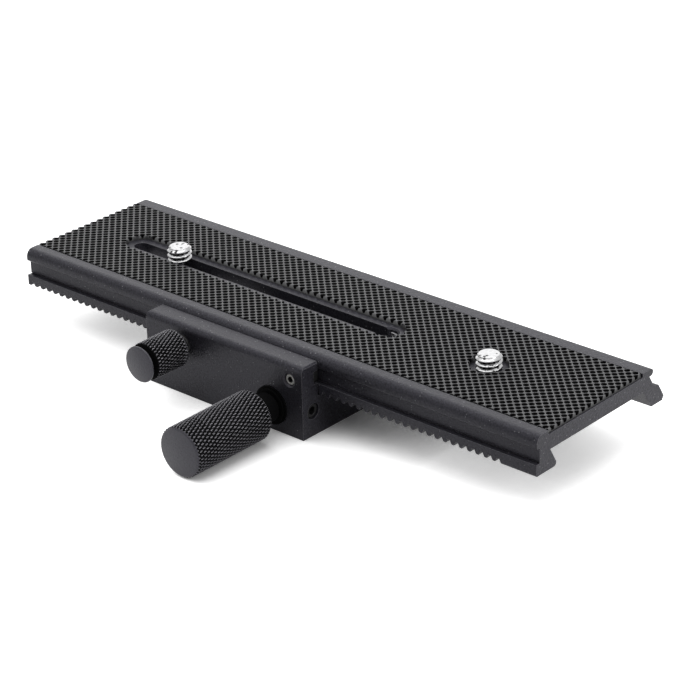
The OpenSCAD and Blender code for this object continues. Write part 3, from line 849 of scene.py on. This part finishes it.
class RAIL_OT_lock_knob(RailPartOperator):
    """Makes the knurled lock knob with the groove behind its face"""

    bl_idname = "rail.lock_knob"
    bl_label = "Make lock knob"

    def execute(self, context):
        s = context.scene.rail_knurl
        low, high, middle = box_of("lock_knob")
        screw_low, screw_high, _ = box_of("lock_screw")
        radius = (high.x - low.x) / 2
        end = high.y - low.y
        bore_r = (screw_high.x - screw_low.x) / 2 + 2 * HAIR
        bore = high.y - screw_low.y + 10 * HAIR
        lead = 2 * math.pi * radius / s.lock_starts / math.tan(s.helix)
        relief = knurl_relief(radius, s.depth, s.lock_starts, lead, s.flat)
        c = s.chamfer
        slope = 2.2 * c
        face_r = radius - 0.00022
        groove = end - 0.0015
        groove_end = groove + 0.0009
        # The bore, the sloping back, the knurl, the sunk groove in painted shade and the rounded face
        rows = [(bore, 0, False), (bore, bore_r, False), (0, bore_r, False), (0, radius - slope, False)]
        rows += [(along, radius - slope + along, True) for along in steps(20 * HAIR, slope, lead / 8)]
        rows += [(along, radius, True) for along in steps(slope, groove - 1.4 * c, lead / 8)[1:]]
        rows += [(groove, face_r - 3 * c, PAINTED_SHADE_ROW), (groove_end, face_r - 3 * c, PAINTED_SHADE_ROW)]
        rows += [(groove_end + 10 * HAIR, face_r - 0.3 * c, False), (groove_end + 20 * HAIR, face_r, False)]
        rows += [(end - 0.6 * c, face_r, False), (end - 0.2 * c, face_r - 0.3 * c, False)]
        rows += [(end, face_r - 0.8 * c, False), (end, 0, False)]
        knob = knurled("lock_knob_knurled", rows, s.lock_starts, relief, s.depth)
        placed(knob, Vector((middle.x, high.y, middle.z)), FRONT)
        adopt(knob, knob_materials(), "lock_knob", "lock")
        return {"FINISHED"}


class RAIL_OT_camera_screws(RailPartOperator):
    """Makes the two camera screws with threads, knurled heads and coin slots"""

    bl_idname = "rail.camera_screws"
    bl_label = "Make camera screws"

    def execute(self, context):
        for node, body in (("slot_camera_screw", "slot_screw"), ("rear_camera_screw", "rear_screw")):
            self.make(context.scene.rail_thread, node, body)
        return {"FINISHED"}

    def make(self, s, node, body):
        """Makes one screw, head down, in place of its CAD node."""
        low, high, middle = box_of(node)
        end = high.z - low.z
        head_r, head = (high.x - low.x) / 2, 0.0034
        stud_r, stud = 0.003175, end - 0.00365
        neck_r, bevel, ridges = 0.0019, 0.0006, 60
        half_slot, slot_depth, spare = 0.0008, 0.0012, MM
        thread = thread_relief(stud_r, s.camera_pitch, s.camera_depth)

        def relief(angle, along):
            """The thread on the stud and a straight knurl round the head."""
            if along > stud - 10 * HAIR:
                return thread(angle, along)
            phase = (ridges * angle / (2 * math.pi)) % 1
            return head_r - 0.00025 * min(1, 2 * min(phase, 1 - phase))

        # The head, the neck, the stud with its tapered tip
        rows = [(0, 0, False), (0, head_r - bevel, False), (bevel / 2, head_r - bevel / 3, True)]
        rows += [(bevel, head_r, True), (head - bevel, head_r, True)]
        rows += [(head - bevel / 2, head_r - bevel / 3, True), (head, head_r - bevel, False)]
        rows += [(head, neck_r, False), (stud, neck_r, False), (stud, stud_r - bevel, False)]
        for along in steps(stud + 5 * HAIR, end, s.camera_pitch / 14):
            rows.append((along, min(stud_r, stud_r - 0.0007 + (end - along) * 1.1), True))
        rows += [(end, stud_r - 0.00082, False), (end, 0, False)]
        # Thread roots deeper than most of the thread's depth wear the painted shade black.
        made = as_object(node + "_threaded", turned(rows, 180, relief, s.camera_depth * 0.8), 50)
        placed(made, Vector((middle.x, middle.y, low.z)), UP)
        corner = Vector((middle.x - head_r - spare, middle.y - half_slot, low.z - spare))
        far = Vector((middle.x + head_r + spare, middle.y + half_slot, low.z + slot_depth))
        adopt(made, [bright_material(), painted_shade_material()], node, body)
        cut_away(made, block("coin_slot", corner, far))


class RAIL_OT_lock_screw(RailPartOperator):
    """Makes the threaded stud of the lock knob"""

    bl_idname = "rail.lock_screw"
    bl_label = "Make lock screw"

    def execute(self, context):
        s = context.scene.rail_thread
        low, high, middle = box_of("lock_screw")
        radius = (high.x - low.x) / 2
        end = high.y - low.y
        root_r = radius - 0.0004
        relief = thread_relief(radius, s.lock_pitch, s.lock_depth)
        rows = [(0, 0, False), (0, root_r, False)]
        for along in steps(2 * HAIR, end - 2 * HAIR, s.lock_pitch / 8):
            rows.append((along, min(radius, root_r + along, root_r + end - along), True))
        rows += [(end, root_r, False), (end, 0, False)]
        stud = as_object("lock_screw_threaded", turned(rows, 64, relief), 50)
        placed(stud, Vector((middle.x, high.y, middle.z)), FRONT)
        adopt(stud, [black_steel_material()], "lock_screw", "lock")
        return {"FINISHED"}


class RAIL_OT_tapped_turns(RailPartOperator):
    """Makes the thread turns inside the slot's entry hole and the tripod hole"""

    bl_idname = "rail.tapped_turns"
    bl_label = "Make tapped turns"

    def execute(self, context):
        s = context.scene.rail_thread
        plate_low, plate_high, _ = box_of("rail_plate")
        entry_from_end, web_bottom, half_slot = 0.1039, 0.00495, 0.0024
        entry = Vector((plate_low.x + entry_from_end, 0, plate_high.z - web_bottom + 10 * HAIR))
        turns = self.make(s, "entry_hole_turns", entry, 0.0034, "rail", "black_anodised")
        slot_low = entry + Vector((-0.004, -half_slot, -MM))
        cut_away(turns, block("slot_path", slot_low, entry + Vector((0, half_slot, 0.005))))
        bush_low, _, bush = box_of("reducer_bush")
        start = Vector((bush.x, bush.y, bush_low.z + 20 * HAIR))
        self.make(s, "tripod_turns", start, 0.0074, "carriage", "steel")
        return {"FINISHED"}

    def make(self, s, name, start, height, body, slot):
        """Makes a coil of three-cornered ridge on the wall of a tapped hole, thin at both ends."""
        wall, half_ridge, columns = 0.00261, 0.4, 40
        pitch = s.camera_pitch
        turns = height / pitch - 2 * half_ridge
        count = int(turns * columns)
        bm = bmesh.new()
        rings = []
        for k in range(count + 1):
            done = k / count
            angle = 2 * math.pi * turns * done
            z = start.z + pitch * (half_ridge + turns * done)
            fade = min(1, 8 * done, 8 * (1 - done)) + 0.01
            ring = []
            for out, rise in ((wall, -half_ridge), (wall - s.turn_depth * fade, 0), (wall, half_ridge)):
                point = (start.x + out * math.cos(angle), start.y + out * math.sin(angle), z + rise * pitch * fade)
                ring.append(bm.verts.new(point))
            rings.append(ring)
        for a, b in zip(rings, rings[1:]):
            for i in range(3):
                j = (i + 1) % 3
                bm.faces.new([a[i], a[j], b[j], b[i]])
        bm.faces.new(rings[0])
        bm.faces.new(rings[-1])
        made = as_object(name, bm, 35)
        settle(made, [steel_material()], body)
        return made


class RAIL_OT_stage(RailPartOperator):
    """Makes the floor, the even light, the lamps and the camera"""

    bl_idname = "rail.stage"
    bl_label = "Make stage"

    def execute(self, context):
        s = context.scene.rail_stage
        self.floor(s)
        self.world(context.scene, s)
        self.lamp("back_lamp", (-0.72, 0.80, 0.52), 1.2, s.back_power)
        self.lamp("top_lamp", (-0.2, 0.0, 1.1), 1.5, s.top_power)
        self.lamp("side_lamp", (1.0, 0.1, 0.6), 0.6, s.side_power)
        self.camera(context.scene, s)
        context.scene.view_settings.view_transform = "Standard"
        return {"FINISHED"}

    def floor(self, s):
        """A white floor that keeps the lamps' shadow of the object, with a painted shadow where pieces close it in:
        its extra brightness fades there, leaning away from the lamps behind.
        """
        bm = bmesh.new()
        bmesh.ops.create_grid(bm, x_segments=8, y_segments=8, size=s.floor_size / 2)
        bmesh.ops.translate(bm, vec=(0, 0, CAD_BOX[0][2] - 2 * HAIR), verts=bm.verts)
        sheet = as_object("floor", bm)
        material, tree, shader = blank("White floor")
        shader.inputs["Roughness"].default_value = 0.9
        shader.inputs["Specular IOR Level"].default_value = 0.0
        shader.inputs["Emission Color"].default_value = (1, 1, 1, 1)
        seen = seen_rays(tree)
        tree.links.new(mixed(tree, seen, s.bounce, s.floor_colour), shader.inputs["Base Color"])
        # Painted shadow: the extra brightness fades where the floor is closed in by pieces, measured along a
        # direction that leans towards the lamps behind.
        bare = open_air(tree, s.shade_reach, 16, lean=(-0.65, 0.15, 1))
        lift = ranged(tree, bare, high=s.floor_lift, start=0.15, stop=0.6)
        tree.links.new(reckoned(tree, "MULTIPLY", seen, lift), shader.inputs["Emission Strength"])
        sheet.data.materials.append(material)

    def world(self, scene, s):
        """Even light, seen as white by the camera and in reflections."""
        world = bpy.data.worlds.new("Studio")
        scene.world = world
        world.use_nodes = True
        tree = world.node_tree
        back = tree.nodes["Background"]
        back.inputs["Color"].default_value = (1, 1, 1, 1)
        tree.links.new(ranged(tree, seen_rays(tree), s.sky, 1), back.inputs["Strength"])

    def lamp(self, name, place, size, power):
        """A square soft lamp that looks at the middle of the rail."""
        data = bpy.data.lights.new(name, "AREA")
        data.size = size
        data.energy = power
        made = bpy.data.objects.new(name, data)
        made.location = place
        made.rotation_euler = (-Vector(place)).to_track_quat("-Z", "Y").to_euler()
        bpy.context.collection.objects.link(made)

    def camera(self, scene, s):
        """The photograph's camera."""
        azimuth, elevation, roll = map(math.radians, VIEW_TURNS)
        back = Vector((
            math.sin(azimuth) * math.cos(elevation), -math.cos(azimuth) * math.cos(elevation), math.sin(elevation)
        ))
        level = Vector((math.cos(azimuth), math.sin(azimuth), 0))
        right = math.cos(roll) * level + math.sin(roll) * back.cross(level)
        up = back.cross(right)
        data = bpy.data.cameras.new("photo_camera")
        data.lens = s.lens
        data.sensor_width = 36
        data.clip_start = 0.01
        data.clip_end = 20
        made = bpy.data.objects.new("photo_camera", data)
        matrix = Matrix((right, up, back)).transposed().to_4x4()
        matrix.translation = VIEW_TARGET + back * VIEW_DISTANCE * MM
        made.matrix_world = matrix
        bpy.context.collection.objects.link(made)
        scene.camera = made


class RAIL_PT_looks(bpy.types.Panel):
    """Lists the operators and settings of the rail's looks"""

    bl_idname = "RAIL_PT_looks"
    bl_label = "Focusing Rail"
    bl_space_type = "VIEW_3D"
    bl_region_type = "UI"
    bl_category = "Focusing Rail"

    def draw(self, context):
        layout = self.layout
        for operator in OPERATORS:
            layout.operator(operator.bl_idname)
        for label, group in SETTINGS.items():
            box = layout.box()
            box.label(text=group.__doc__)
            held = getattr(context.scene, label)
            for key in group.__annotations__:
                box.prop(held, key)


SETTINGS = {
    "rail_finish": RailFinishSettings,
    "rail_pad": RailPadSettings,
    "rail_knurl": RailKnurlSettings,
    "rail_thread": RailThreadSettings,
    "rail_stage": RailStageSettings,
}
OPERATORS = (
    RAIL_OT_stage,
    RAIL_OT_plate_and_carriage,
    RAIL_OT_inner_pieces,
    RAIL_OT_grip_pad,
    RAIL_OT_focus_knob,
    RAIL_OT_lock_knob,
    RAIL_OT_camera_screws,
    RAIL_OT_lock_screw,
    RAIL_OT_tapped_turns,
)


def register():
    """Adds the settings, operators and panel to Blender."""
    for group in SETTINGS.values():
        bpy.utils.register_class(group)
    for label, group in SETTINGS.items():
        setattr(bpy.types.Scene, label, PointerProperty(type=group))
    for operator in OPERATORS:
        bpy.utils.register_class(operator)
    bpy.utils.register_class(RAIL_PT_looks)


def unregister():
    """Takes them out again."""
    bpy.utils.unregister_class(RAIL_PT_looks)
    for operator in reversed(OPERATORS):
        bpy.utils.unregister_class(operator)
    for label in SETTINGS:
        delattr(bpy.types.Scene, label)
    for group in reversed(SETTINGS.values()):
        bpy.utils.unregister_class(group)


def main():
    register()
    for operator in OPERATORS:
        family, name = operator.bl_idname.split(".")
        getattr(getattr(bpy.ops, family), name)()


if __name__ == "__main__":
    main()
